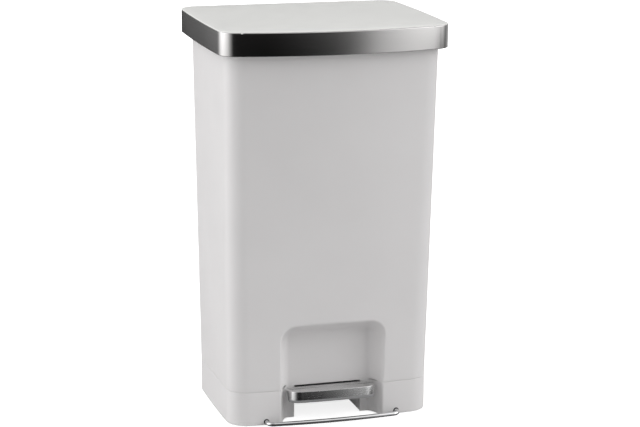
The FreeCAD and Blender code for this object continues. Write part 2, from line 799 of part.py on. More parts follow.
def make_rod_cover():
    """Channel inside the back wall that keeps the bag off the rod."""
    body = new_body("rod_cover")
    outline = add_sketch(body, "XY_Plane")
    half = "Sizes.trunk_width / 2"
    wall_side = "Sizes.base_back - Sizes.rod_base_across - Sizes.wall - 0.05"
    draw_polygon(outline, [
        (f"-{half}", f"{wall_side} - 2"), (f"-{half}", "-13"), (half, "-13"),
        (half, f"{wall_side} - 2"), (f"{half} + 12", f"{wall_side} - 2"),
        (f"{half} + 12", wall_side), (f"{half} - 2", wall_side), (f"{half} - 2", "-11"),
        (f"-({half}) + 2", "-11"), (f"-({half}) + 2", wall_side),
        (f"-({half}) - 12", wall_side), (f"-({half}) - 12", f"{wall_side} - 2"),
    ])
    pad(body, outline, "(Sizes.trunk_top - Sizes.trunk_bottom)")
    for side in ("23", "-23"):
        for level in (110, 540):
            hole = add_sketch(body, "XZ_Plane", "-20")
            height = f"({level} - Sizes.trunk_bottom) / {math.cos(rod_tilt)}"
            draw_circle(hole, side, height, "Sizes.screw_radius + Sizes.running_fit")
            pocket(body, hole, "30", backwards=True)
    body.Placement = Placement(rod_point(size("trunk_bottom")), rod_turn)


def make_trunk_screws():
    screws = [screw(f"trunk_screw_{number}", "5", place)
              for number, place in enumerate(trunk_screw_places)]
    return node(group("rod_cover_screws", screws), "rod_cover_screws")


# ---------------------------------------------------------------- hinge

EAR_STARTS = (-56.5, -39.7, 33.5, 50.3)
EAR_WIDTH = "6.2"


def make_hinge_bracket():
    """Steel plate on the back wall with four ears for the hinge pins."""
    plate = block("bracket_plate", "140", "Sizes.wall", "31", "-70", "0", "0")
    plate.Placement = Placement(back_wall_point(-70, 590), rod_turn)
    for axis in "xyz":
        plate.setExpression(f"Placement.Base.{axis}", None)
    pieces = [plate]
    for number, start in enumerate(EAR_STARTS):
        pieces.append(block(f"ear_web_{number}", EAR_WIDTH, "Sizes.hinge_across - 141", "12",
                            str(start), "141", "Sizes.hinge_height - Sizes.hinge_barrel"))
        pieces.append(cylinder(f"ear_barrel_{number}", "Sizes.hinge_barrel", EAR_WIDTH,
                               str(start), "Sizes.hinge_across", "Sizes.hinge_height", ALONG_X))
    pin_line = cylinder("ear_bore", "Sizes.hinge_pin_radius", "200", "-100",
                        "Sizes.hinge_across", "Sizes.hinge_height", ALONG_X)
    holes = screw_holes("bracket_holes", "10",
                        [Placement(place.Base + wall_normal * 3, place.Rotation)
                         for place in bracket_screw_places])
    bracket = cut("bracket_drilled", fuse("bracket_blank", pieces), fuse("bracket_cuts", [pin_line, holes]))
    return node(bracket, "hinge_bracket")


def make_hinge_screws():
    screws = [screw(f"hinge_screw_{number}", "14", place)
              for number, place in enumerate(bracket_screw_places)]
    return node(group("hinge_screws", screws), "hinge_screws")


def make_hinge_nuts():
    """Hexagon nuts inside the tub on the bracket screws."""
    nuts = []
    for number, place in enumerate(bracket_screw_places):
        hexagon = doc.addObject("Part::Prism", f"nut_blank_{number}")
        hexagon.Polygon = 6
        bind(hexagon, Circumradius="4.6", Height="3.2")
        bore = cylinder(f"nut_bore_{number}", "Sizes.screw_radius", "10", "0", "0", "-2")
        nut = cut(f"nut_{number}", hexagon, bore)
        lift = 2 * size("wall") + 0.02
        spot = place.Base - wall_normal * lift
        nut.Placement = Placement(spot, place.Rotation)
        nuts.append(nut)
    return node(group("hinge_nuts", nuts), "hinge_nuts")


def make_hinge_pins():
    pins = [cylinder(f"hinge_pin_{number}", "Sizes.hinge_pin_radius", "25.5", start,
                     "Sizes.hinge_across", "Sizes.hinge_height", ALONG_X)
            for number, start in enumerate(("-57.7", "32.2"))]
    return node(group("hinge_pins", pins), "hinge_pins")


# ---------------------------------------------------------------- lid

TAB_SPOTS = (-152, 152)


def tab_boxes(shrink):
    """Blocks where the lid panel's snap tabs show through the band's top edge."""
    top = size("band_top")
    front = size("lid_front") - size("lid_front_bow") - 2
    return [solid_box(Vector(x - 5 + shrink, front, top - 3 + shrink),
                      Vector(x + 5 - shrink, front + 40, top + 1)) for x in TAB_SPOTS]


def make_lid_band():
    """Brushed steel band, one millimetre thick, open at the snap tabs."""
    thick = size("band_thickness")
    height = size("band_top") - size("lid_bottom")
    outer = prism(lid_outline(size("lid_bottom")), height)
    inner = prism(lid_outline(size("lid_bottom") - 1, thick), height + 2)
    return shaped("lid_band", outer.cut([inner] + tab_boxes(0)))


def make_lid_top():
    """Crowned panel with a skirt behind the band, screw posts and snap tabs."""
    band = size("band_thickness")
    top = size("band_top")
    crown = size("overall_height")
    inner_inset = band + size("lid_wall")
    skirt_low = size("lid_bottom") + 1
    skirt = prism(lid_outline(skirt_low, band), top - skirt_low)
    cap = loft(lid_outline(top, 0.3), lid_outline(top + 1.6, 1.2), lid_outline(top + 2.6, 4.5))
    dome = loft(lid_outline(top + 2.6, 4.5), lid_outline(top + 4.2, 45), lid_outline(crown, 110))
    hollow = prism(lid_outline(skirt_low - 1, inner_inset), top - 2.5 - skirt_low)
    vault = loft(lid_outline(top - 2.6, inner_inset + 1), lid_outline(top + 1.4, 45),
                 lid_outline(crown - 2.5, 110))
    tabs = [box.common(prism(lid_outline(top - 4), 4.5)) for box in tab_boxes(0.1)]
    lid = skirt.fuse([cap, dome]).cut([hollow, vault])
    liner_top = size("liner_bottom") + size("liner_thickness")
    posts = [Part.makeCylinder(5, 9.5, Vector(place.Base.x, place.Base.y, liner_top))
             for place in lid_screw_places]
    holes = hole_shapes(lid_screw_places, 0, 9, size("screw_radius") + size("running_fit"))
    return shaped("lid_top", lid.fuse(posts + tabs).cut(holes))


def make_lid_liner():
    """Inner lid panel with the hinge knuckles below its rear edge."""
    low = size("liner_bottom")
    thick = size("liner_thickness")
    inset = size("band_thickness") + size("lid_wall") + 0.3
    panel = prism(lid_outline(low, inset), thick)
    barrel = size("hinge_barrel")
    pieces = []
    for start in (-49.7, 40.3):
        pieces.append(Part.makeCylinder(barrel, 9.4, hinge_centre + Vector(start, 0, 0), Vector(1, 0, 0)))
        pieces.append(solid_box(hinge_centre + Vector(start, -5, 0),
                                Vector(start + 9.4, hinge_centre.y + 5, low + 1)))
    bore = Part.makeCylinder(size("hinge_pin_radius") + size("running_fit"), 200,
                             hinge_centre - Vector(100, 0, 0), Vector(1, 0, 0))
    holes = hole_shapes(lid_screw_places, -1, 9, size("screw_radius") + size("running_fit"))
    return shaped("lid_liner", panel.fuse(pieces).cut([bore] + holes))


def cam_profile_point(opening):
    """Point of the cam that meets the rod when the lid is open by an angle in radians.

    It is the involute of a circle round the hinge, so the rod's push stays on its own line.
    """
    travel = contact_start + rod_reach * opening
    meeting = wall_normal * -rod_reach + rod_direction * travel
    return Rotation(Vector(1, 0, 0), math.degrees(opening)).multVec(meeting) + hinge_centre


def make_lid_cam():
    """Lug under the lid whose curved lower edge the rod lifts."""
    steps = 8
    travel = math.radians(size("lid_travel") + 4)
    curve = Part.BSplineCurve()
    side = Vector(-size("cam_width") / 2, 0, 0)
    curve.interpolate([cam_profile_point(travel * step / steps) + side
                       for step in range(steps + 1)])
    first = curve.StartPoint
    last = curve.EndPoint
    low = size("liner_bottom")
    corners = [last, last - Vector(0, 3, 0), Vector(side.x, last.y - 3, low),
               Vector(side.x, first.y + 2.5, low), first + Vector(0, 2.5, 0), first]
    edges = [Part.LineSegment(start, end).toShape() for start, end in zip(corners, corners[1:])]
    face = Part.Face(Part.Wire([curve.toShape()] + edges))
    return shaped("lid_cam", face.extrude(Vector(size("cam_width"), 0, 0)))


def make_lid_screws():
    screws = [screw(f"lid_screw_{number}", "8", place)
              for number, place in enumerate(lid_screw_places)]
    return node(group("lid_screws", screws), "lid_screws")


def make_lid_buffers():
    """Rubber stops under the lid's front corners; they meet the bag ring."""
    stops = [cylinder(f"stop_{number}", "4", "3", x, "-139", "Sizes.liner_bottom - 3")
             for number, x in enumerate(("-95", "95"))]
    return node(group("lid_buffers", stops), "lid_buffers")


def make_bag_ring():
    """Loose frame that lies on the rim and holds the bag down inside it."""
    low = size("rim_top")
    wall = size("wall")
    skirt = size("ring_skirt")
    rear = size("ring_rear")
    keep = solid_box(Vector(-200, -200, low - 20), Vector(200, rear, low + 10))
    top = prism(tub_outline(low, -1), 2.2).common(keep)
    top = top.cut(prism(tub_outline(low - 1, wall + 9), 10).common(
        solid_box(Vector(-200, -200, low - 20), Vector(200, rear - 10, low + 10))))
    collar = prism(tub_outline(low - skirt, wall + 1), skirt).common(keep)
    collar = collar.cut(prism(tub_outline(low - skirt, wall + 3), skirt).common(
        solid_box(Vector(-200, -200, low - 20), Vector(200, rear - 2, low + 10))))
    return shaped("bag_ring", top.fuse(collar))


MAKERS = (
    make_body_shell, make_base_frame, make_base_screws, make_rubber_feet, make_foot_bar,
    make_grommets, make_clamps, make_clamp_screws, make_pedal_pad, make_pedal_cover,
    make_pedal_lever, make_lever_screws, make_pedal_axle, make_axle_clips, make_pedal_buffers,
    make_push_rod, make_rod_foot, make_rod_tip, make_rod_guides, make_rod_cover, make_trunk_screws,
    make_hinge_bracket, make_hinge_screws, make_hinge_nuts, make_hinge_pins, make_lid_band,
    make_lid_top, make_lid_liner, make_lid_cam, make_lid_screws, make_lid_buffers, make_bag_ring,
)
for maker in MAKERS:
    maker()
doc.recompute()

for item in doc.Objects:
    if "Invalid" in item.State or "Error" in item.State:
        raise ValueError(f"{item.Label} failed: {item.State}")
for piece in nodes:
    if piece.Shape.isNull() or not piece.Shape.isValid():
        raise ValueError(f"{piece.Label} has no valid shape")

os.makedirs("parts", exist_ok=True)
for piece in nodes:
    piece.Shape.exportStep(f"parts/{piece.Label}.step")
    box = piece.Shape.BoundBox
    print(f"{piece.Label:22s} {len(piece.Shape.Solids)} solids {piece.Shape.Volume / 1000:9.2f} cm3"
          f"  x {box.XMin:.1f}..{box.XMax:.1f}  y {box.YMin:.1f}..{box.YMax:.1f}"
          f"  z {box.ZMin:.1f}..{box.ZMax:.1f}")
print(f"rod reach {rod_reach:.3f} mm, rod length {rod_length:.2f} mm, foot centre {foot_centre}")
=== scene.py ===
import json
import math

import bmesh
import bpy
from mathutils import Matrix, Vector


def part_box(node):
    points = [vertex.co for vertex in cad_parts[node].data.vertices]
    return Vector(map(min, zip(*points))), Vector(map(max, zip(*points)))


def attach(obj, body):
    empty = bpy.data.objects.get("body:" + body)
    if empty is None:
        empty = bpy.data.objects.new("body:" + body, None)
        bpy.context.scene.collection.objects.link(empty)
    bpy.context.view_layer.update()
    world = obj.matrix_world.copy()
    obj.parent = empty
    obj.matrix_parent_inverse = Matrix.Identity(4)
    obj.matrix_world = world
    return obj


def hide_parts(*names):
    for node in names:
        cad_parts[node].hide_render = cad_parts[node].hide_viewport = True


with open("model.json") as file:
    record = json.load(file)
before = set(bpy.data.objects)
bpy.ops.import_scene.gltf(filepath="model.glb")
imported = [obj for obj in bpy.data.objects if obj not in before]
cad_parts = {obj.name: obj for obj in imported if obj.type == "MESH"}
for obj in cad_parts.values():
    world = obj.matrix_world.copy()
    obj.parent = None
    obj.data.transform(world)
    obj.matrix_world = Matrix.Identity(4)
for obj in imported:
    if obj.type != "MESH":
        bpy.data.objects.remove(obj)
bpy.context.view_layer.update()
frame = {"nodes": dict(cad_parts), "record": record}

# All lengths below are in millimetres unless a name says otherwise; meshes are scaled to metres.
MM = 0.001

# ---------------------------------------------------------------- sizes shared with the frame


def node_box(name):
    """Lowest and highest corner of a node, in millimetres."""
    low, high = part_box(name)
    return Vector(low) / MM, Vector(high) / MM


BASE_LOW, BASE_HIGH = node_box("base_frame")
BAND_LOW, BAND_HIGH = node_box("lid_band")

SKIRT_TOP = BASE_HIGH.z
SKIRT_BOTTOM = BASE_LOW.z
RIM_TOP = 628
RIM_LIP = 3.5
RIM_LIP_HEIGHT = 6
WALL = 2.5
LID_BOTTOM = BAND_LOW.z
BAND_TOP = BAND_HIGH.z
CROWN = node_box("lid_top")[1].z

# Outlines: half width, front and back between the sharp corners, front bow, side bow, corner radius.
LID = dict(half=185.9, front=-139, back=164.8, front_bow=26, side_bow=3.5, corner=30)
TUB_TOP = dict(half=175, front=-129, back=140, front_bow=22, side_bow=2.2, corner=35)
TUB_BASE = dict(half=167.7, front=-113, back=124, front_bow=7, side_bow=2.2, corner=35)

# Holes: the push rod's through the floor, the hinge slot in the back of the rim, axle and foot bar.
ROD_HOLE = Vector((0, 114, 57))
ROD_HOLE_RADIUS = 8
RIM_SLOT_HALF = 9
RIM_SLOT_FRONT, RIM_SLOT_BACK = 120, 150
RIM_SLOT_DEPTH = 14
AXLE_HOLE_RADIUS = 4.05
BAR_HOLE_RADIUS = 4.6

# Toe recess: flat back wall, flared sides and ceiling, all with soft edges.
RECESS_BACK = -90
RECESS_HALF = 72
RECESS_TOP = 147
RECESS_CORNER = 10
RECESS_SIDE_SLOPE = 2.05
RECESS_TOP_SLOPE = 1.95
RECESS_SOFT_BACK = 11
RECESS_SOFT_MOUTH = 3.5
NOTCH_HALF = 56.5
NOTCH_TOP = 55.5


# ---------------------------------------------------------------- outlines

def meet(centre_a, radius_a, centre_b, radius_b, near):
    """Crossing point of two circles, the one closer to near."""
    gap = centre_b - centre_a
    distance = gap.length
    along = (radius_a ** 2 - radius_b ** 2 + distance ** 2) / (2 * distance)
    across = math.sqrt(max(radius_a ** 2 - along ** 2, 0))
    foot = centre_a + gap * (along / distance)
    side = Vector((-gap.y, gap.x)) * (across / distance)
    return min(foot + side, foot - side, key=lambda spot: (spot - near).length)


def bowed_side(start, end, bow):
    """Centre and radius of the arc through two corners that bulges outwards by bow."""
    bow = max(bow, 0.01)
    chord = end - start
    radius = (chord.length ** 2 / 4 + bow ** 2) / (2 * bow)
    outward = Vector((chord.y, -chord.x)).normalized()
    middle = (start + end) / 2
    return middle + outward * (bow - radius), radius


def mixed(low, high, share):
    """Outline between two others of the same kind."""
    return {name: low[name] + (high[name] - low[name]) * share for name in low}


def inset_shape(shape, inset):
    """The same outline drawn in by a distance, with bows of the same curvature."""
    smaller = dict(shape)
    smaller["half"] -= inset
    smaller["front"] += inset
    smaller["back"] -= inset
    smaller["front_bow"] *= (smaller["half"] / shape["half"]) ** 2
    smaller["corner"] = max(shape["corner"] - inset, 12)
    return smaller


FRONT_GRID = [-104 + 2 * step for step in range(105)]
CORNER_STEPS = 12
SIDE_STEPS = 32


def ring_points(shape, fixed_columns=False):
    """Points round an outline, anticlockwise from the front, with fixed columns if asked."""
    half, front, back = shape["half"], shape["front"], shape["back"]
    radius = shape["corner"]
    corners = [Vector((-half, front)), Vector((half, front)), Vector((half, back)), Vector((-half, back))]
    bows = [shape["front_bow"], shape["side_bow"], 0, shape["side_bow"]]
    sides = [bowed_side(corners[k], corners[(k + 1) % 4], bows[k]) for k in range(4)]
    blends = []
    for k in range(4):
        (centre_a, radius_a), (centre_b, radius_b) = sides[k - 1], sides[k]
        inner = corners[k] + Vector((-corners[k].x, -corners[k].y)).normalized() * radius * 1.4
        blends.append(meet(centre_a, radius_a - radius, centre_b, radius_b - radius, inner))

    def touch(k, blend):
        centre, side_radius = sides[k]
        return centre + (blend - centre).normalized() * side_radius

    points = []
    for k in range(4):
        centre, side_radius = sides[k]
        start = touch(k, blends[k])
        end = touch(k, blends[(k + 1) % 4])
        points += side_points(k == 0 and fixed_columns, centre, side_radius, start, end)
        points += corner_points(blends[(k + 1) % 4], radius, end, touch((k + 1) % 4, blends[(k + 1) % 4]))
    return points


def side_points(fixed_columns, centre, radius, start, end):
    """Points along one bowed side, without its last one."""
    if fixed_columns:
        columns = [start.x + (FRONT_GRID[0] - start.x) * step / 8 for step in range(8)]
        columns += FRONT_GRID
        columns += [FRONT_GRID[-1] + (end.x - FRONT_GRID[-1]) * step / 8 for step in range(1, 8)]
        return [Vector((x, centre.y - math.sqrt(radius ** 2 - (x - centre.x) ** 2))) for x in columns]
    points = []
    for step in range(SIDE_STEPS):
        spot = start.lerp(end, step / SIDE_STEPS)
        points.append(centre + (spot - centre).normalized() * radius)
    return points


def corner_points(centre, radius, start, end):
    """Points round a corner, without its last one."""
    first = math.atan2(start.y - centre.y, start.x - centre.x)
    last = math.atan2(end.y - centre.y, end.x - centre.x)
    sweep = (last - first) % (2 * math.pi)
    points = []
    for step in range(CORNER_STEPS):
        angle = first + sweep * step / CORNER_STEPS
        points.append(centre + Vector((math.cos(angle), math.sin(angle))) * radius)
    return points


# ---------------------------------------------------------------- mesh helpers

def new_object(name, vertices, faces, sharp_degrees=32.0):
    """A smooth-shaded object from millimetre points; edges sharper than the limit stay crisp."""
    mesh = bpy.data.meshes.new(name)
    mesh.from_pydata([tuple(Vector(point) * MM) for point in vertices], [], faces)
    mesh.validate()
    tidy = bmesh.new()
    tidy.from_mesh(mesh)
    bmesh.ops.remove_doubles(tidy, verts=tidy.verts, dist=1e-6)
    bmesh.ops.recalc_face_normals(tidy, faces=tidy.faces)
    tidy.to_mesh(mesh)
    tidy.free()
    mesh.shade_smooth()
    mesh.set_sharp_from_angle(angle=math.radians(sharp_degrees))
    piece = bpy.data.objects.new(name, mesh)
    bpy.context.scene.collection.objects.link(piece)
    return piece


def skin(rings, first_cap=None, last_cap=None):
    """Vertices and quads between successive rings of equal length, with optional centre points."""
    count = len(rings[0])
    vertices = [point for ring in rings for point in ring]
    faces = []
    for level in range(len(rings) - 1):
        base, above = level * count, (level + 1) * count
        for k in range(count):
            following = (k + 1) % count
            faces.append((base + k, base + following, above + following, above + k))
    for cap, start in ((first_cap, 0), (last_cap, (len(rings) - 1) * count)):
        if cap is not None:
            vertices.append(cap)
            hub = len(vertices) - 1
            faces += [(start + k, start + (k + 1) % count, hub) for k in range(count)]
    return vertices, faces


def rounded_block(name, low, high, radius=1.0, segments=3):
    """A moulded block with rounded edges."""
    mesh = bpy.data.meshes.new(name)
    shape = bmesh.new()
    bmesh.ops.create_cube(shape, size=1.0)
    low, high = Vector(low) * MM, Vector(high) * MM
    for vertex in shape.verts:
        vertex.co = Vector([low[k] + (vertex.co[k] + 0.5) * (high[k] - low[k]) for k in range(3)])
    bmesh.ops.bevel(shape, geom=list(shape.edges), offset=radius * MM, segments=segments,
                    profile=0.5, affect="EDGES")
    shape.to_mesh(mesh)
    shape.free()
    mesh.shade_smooth()
    mesh.set_sharp_from_angle(angle=math.radians(40))
    piece = bpy.data.objects.new(name, mesh)
    bpy.context.scene.collection.objects.link(piece)
    return piece


def applied(piece):
    """Replace a piece's mesh by what its modifiers make of it."""
    seen = piece.evaluated_get(bpy.context.evaluated_depsgraph_get())
    mesh = bpy.data.meshes.new_from_object(seen)
    piece.modifiers.clear()
    piece.data = mesh
    mesh.shade_smooth()
    mesh.set_sharp_from_angle(angle=math.radians(40))
    return piece


def softened(piece, width, segments=2, limit=35):
    """Round a piece's sharp edges."""
    bevel = piece.modifiers.new("edge", "BEVEL")
    bevel.width = width * MM
    bevel.segments = segments
    bevel.limit_method = "ANGLE"
    bevel.angle_limit = math.radians(limit)
    return applied(piece)


def cut_away(piece, tool):
    """Take the tool's volume out of a piece and drop the tool."""
    hole = piece.modifiers.new("hole", "BOOLEAN")
    hole.operation = "DIFFERENCE"
    hole.object = tool
    hole.solver = "EXACT"
    applied(piece)
    bpy.data.objects.remove(tool)
    return piece


def drilled(piece, centre, axis, radius, length):
    """Cut a round hole through a piece."""
    mesh = bpy.data.meshes.new("drill")
    shape = bmesh.new()
    bmesh.ops.create_cone(shape, cap_ends=True, segments=32, radius1=radius * MM, radius2=radius * MM,
                          depth=length * MM)
    shape.to_mesh(mesh)
    shape.free()
    tool = bpy.data.objects.new("drill", mesh)
    bpy.context.scene.collection.objects.link(tool)
    tool.location = Vector(centre) * MM
    tool.rotation_euler = Vector(axis).to_track_quat("Z", "Y").to_euler()
    return cut_away(piece, tool)


def smooth_max(a, b, softness):
    overlap = max(softness - abs(a - b), 0) / softness
    return max(a, b) + overlap * overlap * softness / 4


def smooth_min(a, b, softness):
    return -smooth_max(-a, -b, softness)


# ---------------------------------------------------------------- toe recess

def recess_depth(x, z, grow=0.0):
    """Y of the recess surface behind a point of the front face."""
    rounding = RECESS_CORNER * RECESS_SIDE_SLOPE
    across = (abs(x) - RECESS_HALF - grow) * RECESS_SIDE_SLOPE + rounding
    above = (z - RECESS_TOP - grow) * RECESS_TOP_SLOPE + rounding
    outside = math.hypot(max(across, 0), max(above, 0)) + min(max(across, above), 0) - rounding
    back = RECESS_BACK + grow
    return smooth_min(back, back - outside, RECESS_SOFT_BACK)


def with_recess(point, z, grow=0.0):
    """Push a point of the front face back into the recess."""
    if point.y > RECESS_BACK or abs(point.x) > FRONT_GRID[-1] + 1:
        return point
    return Vector((point.x, smooth_max(point.y, recess_depth(point.x, z, grow), RECESS_SOFT_MOUTH)))


# ---------------------------------------------------------------- materials

def new_material(name):
    material = bpy.data.materials.new(name)
    material.use_nodes = True
    nodes = material.node_tree.nodes
    links = material.node_tree.links
    return material, nodes, links, nodes["Principled BSDF"]


def stretched_noise(nodes, links, scale, stretch=(1, 1, 1), detail=3.0, roughness=0.5):
    """Noise in object space, stretched by a scale for each axis."""
    coordinates = nodes.new("ShaderNodeTexCoord")
    mapping = nodes.new("ShaderNodeMapping")
    mapping.inputs["Scale"].default_value = stretch
    noise = nodes.new("ShaderNodeTexNoise")
    noise.inputs["Scale"].default_value = scale
    noise.inputs["Detail"].default_value = detail
    noise.inputs["Roughness"].default_value = roughness
    links.new(coordinates.outputs["Object"], mapping.inputs["Vector"])
    links.new(mapping.outputs["Vector"], noise.inputs["Vector"])
    return noise.outputs["Fac"]


def spread(nodes, links, value, low, high, from_low=0.3, from_high=0.7):
    """Map a noise value to a range."""
    remap = nodes.new("ShaderNodeMapRange")
    remap.inputs["From Min"].default_value = from_low
    remap.inputs["From Max"].default_value = from_high
    remap.inputs["To Min"].default_value = low
    remap.inputs["To Max"].default_value = high
    links.new(value, remap.inputs["Value"])
    return remap.outputs["Result"]


def tinted(nodes, links, value, dark, light):
    """Colour that drifts between two tones with a noise value."""
    mix = nodes.new("ShaderNodeMix")
    mix.data_type = "RGBA"
    mix.inputs["A"].default_value = (*dark, 1)
    mix.inputs["B"].default_value = (*light, 1)
    links.new(spread(nodes, links, value, 0, 1), mix.inputs["Factor"])
    return mix.outputs["Result"]


def bumped(nodes, links, height, strength, distance):
    bump = nodes.new("ShaderNodeBump")
    bump.inputs["Strength"].default_value = strength
    bump.inputs["Distance"].default_value = distance
    links.new(height, bump.inputs["Height"])
    return bump.outputs["Normal"]


def moulded_plastic(name, dark, light, roughness, grain=2200, grain_depth=0.00003):
    """Injection-moulded plastic: fine grain, faint tone drift and uneven gloss."""
    material, nodes, links, shader = new_material(name)
    drift = stretched_noise(nodes, links, 7, detail=2)
    texture = stretched_noise(nodes, links, grain, detail=2)
    gloss = stretched_noise(nodes, links, 40, detail=3)
    links.new(tinted(nodes, links, drift, dark, light), shader.inputs["Base Color"])
    links.new(spread(nodes, links, gloss, roughness * 0.9, roughness * 1.12), shader.inputs["Roughness"])
    links.new(bumped(nodes, links, texture, 0.35, grain_depth), shader.inputs["Normal"])
    return material


def brushed_metal(name, dark, light, roughness, stretch, anisotropy, line_depth):
    """Metal with long fine brush lines; the stretch is small along the lines and large across."""
    material, nodes, links, shader = new_material(name)
    lines = stretched_noise(nodes, links, 1, stretch, detail=4, roughness=0.65)
    broad = stretched_noise(nodes, links, 5, detail=2)
    links.new(tinted(nodes, links, lines, dark, light), shader.inputs["Base Color"])
    mixed_gloss = nodes.new("ShaderNodeMath")
    mixed_gloss.operation = "ADD"
    links.new(spread(nodes, links, lines, roughness * 0.8, roughness * 1.15), mixed_gloss.inputs[0])
    links.new(spread(nodes, links, broad, -0.02, 0.02), mixed_gloss.inputs[1])
    links.new(mixed_gloss.outputs[0], shader.inputs["Roughness"])
    links.new(bumped(nodes, links, lines, 0.25, line_depth), shader.inputs["Normal"])
    shader.inputs["Metallic"].default_value = 1
    shader.inputs["Anisotropic"].default_value = anisotropy
    return material


def polished_metal(name, dark, light, roughness):
    """Plated or drawn metal with faint smears in its gloss."""
    material, nodes, links, shader = new_material(name)
    smear = stretched_noise(nodes, links, 60, (1, 1, 4), detail=2)
    links.new(tinted(nodes, links, smear, dark, light), shader.inputs["Base Color"])
    links.new(spread(nodes, links, smear, roughness * 0.85, roughness * 1.2), shader.inputs["Roughness"])
    links.new(bumped(nodes, links, smear, 0.05, 0.000005), shader.inputs["Normal"])
    shader.inputs["Metallic"].default_value = 1
    return material


def matt_rubber(name):
    material, nodes, links, shader = new_material(name)
    grain = stretched_noise(nodes, links, 1500, detail=3)
    links.new(tinted(nodes, links, grain, (0.012, 0.012, 0.013), (0.028, 0.028, 0.03)),
              shader.inputs["Base Color"])
    links.new(spread(nodes, links, grain, 0.62, 0.82), shader.inputs["Roughness"])
    links.new(bumped(nodes, links, grain, 0.5, 0.00005), shader.inputs["Normal"])
    return material


MATERIALS = {
    "shell_plastic": moulded_plastic("tub_plastic", (0.775, 0.76, 0.76), (0.80, 0.785, 0.785), 0.42),
    "lid_plastic": moulded_plastic("lid_white", (0.82, 0.82, 0.80), (0.85, 0.85, 0.83), 0.34,
                                   grain=1600, grain_depth=0.00002),
    "ring_plastic": moulded_plastic("ring_grey", (0.26, 0.26, 0.27), (0.31, 0.31, 0.32), 0.45),
    "pedal_plastic": moulded_plastic("pedal_grey", (0.27, 0.27, 0.275), (0.32, 0.32, 0.325), 0.4),
    "nylon": moulded_plastic("natural_nylon", (0.70, 0.69, 0.63), (0.76, 0.75, 0.69), 0.38),
    "band_steel": brushed_metal("band_brushed", (0.60, 0.59, 0.585), (0.65, 0.64, 0.635), 0.15,
                                (6, 6, 2400), 0.35, 0.000003),
    "cover_steel": brushed_metal("cover_brushed", (0.58, 0.58, 0.58), (0.62, 0.62, 0.62), 0.24,
                                 (8, 1800, 1800), 0.35, 0.000003),
    "lever_steel": polished_metal("drawn_steel", (0.48, 0.48, 0.49), (0.58, 0.58, 0.59), 0.3),
    "zinc": polished_metal("zinc_plate", (0.58, 0.59, 0.60), (0.70, 0.70, 0.68), 0.26),
    "bar_chrome": polished_metal("chrome_plate", (0.62, 0.62, 0.63), (0.72, 0.72, 0.73), 0.06),
    "black_rubber": matt_rubber("rubber_black"),
}
SLOTS = {row["node"]: row["material_slot"] for row in frame["record"]["subparts"]}


def finish_piece(piece, body, slot, *replaced):
    """Give a modelled piece its material, its body and the nodes that it stands for."""
    piece.data.materials.clear()
    piece.data.materials.append(MATERIALS[slot])
    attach(piece, body)
    if replaced:
        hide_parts(*replaced)
    return piece


for node_name, node_object in frame["nodes"].items():
    node_object.data.materials.clear()
    node_object.data.materials.append(MATERIALS[SLOTS[node_name]])


# ---------------------------------------------------------------- tub

def tub_shape(z):
    return mixed(TUB_BASE, TUB_TOP, max(z - SKIRT_TOP, 0) / (LID_BOTTOM - SKIRT_TOP))


def tub_ring(z, inset=0.0, recess_grow=0.0):
    """One ring of the tub wall, pushed back at the toe recess."""
    ring = []
    for point in ring_points(inset_shape(tub_shape(z), inset), True):
        point = with_recess(point, z, recess_grow)
        ring.append(Vector((point.x, point.y, z)))
    return ring


def make_tub():
    """The whole tub as one closed skin: outside, rolled rim, inside and floor."""
    edge = 0.9
    outer_levels = [SKIRT_TOP + edge + 2.2 * step for step in range(58)]
    step_up = (RIM_TOP - RIM_LIP_HEIGHT - outer_levels[-1] - 2) / 16
    outer_levels += [outer_levels[-1] + step_up * step for step in range(1, 17)]
    floor = SKIRT_TOP + 3
    rings = [tub_ring(SKIRT_TOP, WALL), tub_ring(SKIRT_TOP, edge),
             tub_ring(SKIRT_TOP + edge * 0.3, edge * 0.3)]
    rings += [tub_ring(z) for z in outer_levels]
    lip_low = RIM_TOP - RIM_LIP_HEIGHT
    for z, inset in ((lip_low - 0.8, -0.1), (lip_low - 0.1, -0.9), (lip_low, -RIM_LIP + 1),
                     (lip_low + 0.3, -RIM_LIP + 0.3), (lip_low + 1, -RIM_LIP),
                     (RIM_TOP - 1.4, -RIM_LIP), (RIM_TOP - 0.4, -RIM_LIP + 0.5), (RIM_TOP, -RIM_LIP + 1.6),
                     (RIM_TOP, WALL - 1), (RIM_TOP - 0.3, WALL - 0.3), (RIM_TOP - 1, WALL)):
        rings.append(tub_ring(z, inset))
    for z in reversed(outer_levels[:-1]):
        if z > floor + 8:
            rings.append(tub_ring(z, WALL, WALL))
    for z, inset in ((floor + 6, WALL), (floor + 2.5, WALL + 1.2), (floor + 0.6, WALL + 3.4),
                     (floor, WALL + 7)):
        rings.append(tub_ring(z, inset, inset))
    vertices, faces = skin(rings, first_cap=Vector((0, 20, SKIRT_TOP)), last_cap=Vector((0, 20, floor)))
    tub = new_object("tub_wall", vertices, faces, 40)
    drilled(tub, ROD_HOLE, (0, 0, 1), ROD_HOLE_RADIUS, 20)
    slot_low = (-RIM_SLOT_HALF, RIM_SLOT_FRONT, RIM_TOP - RIM_SLOT_DEPTH)
    slot_high = (RIM_SLOT_HALF, RIM_SLOT_BACK, RIM_TOP + 8)
    cut_away(tub, rounded_block("rim_slot", slot_low, slot_high, 1.5))
    return finish_piece(tub, "can", "shell_plastic", "body_shell")


make_tub()


# ---------------------------------------------------------------- base

PIVOT = Vector((0, -10, 30))
PEDAL_TILT = math.radians(6.92)
BAR_ENTRY = 110
BAR_LEVEL = 7
SKIRT_WALL = 3
FOOT_SPOTS = [(x, y, f"{side}_{end}") for x, side in ((-142, "left"), (142, "right"))
              for y, end in ((98, "back"), (-90, "front"))]


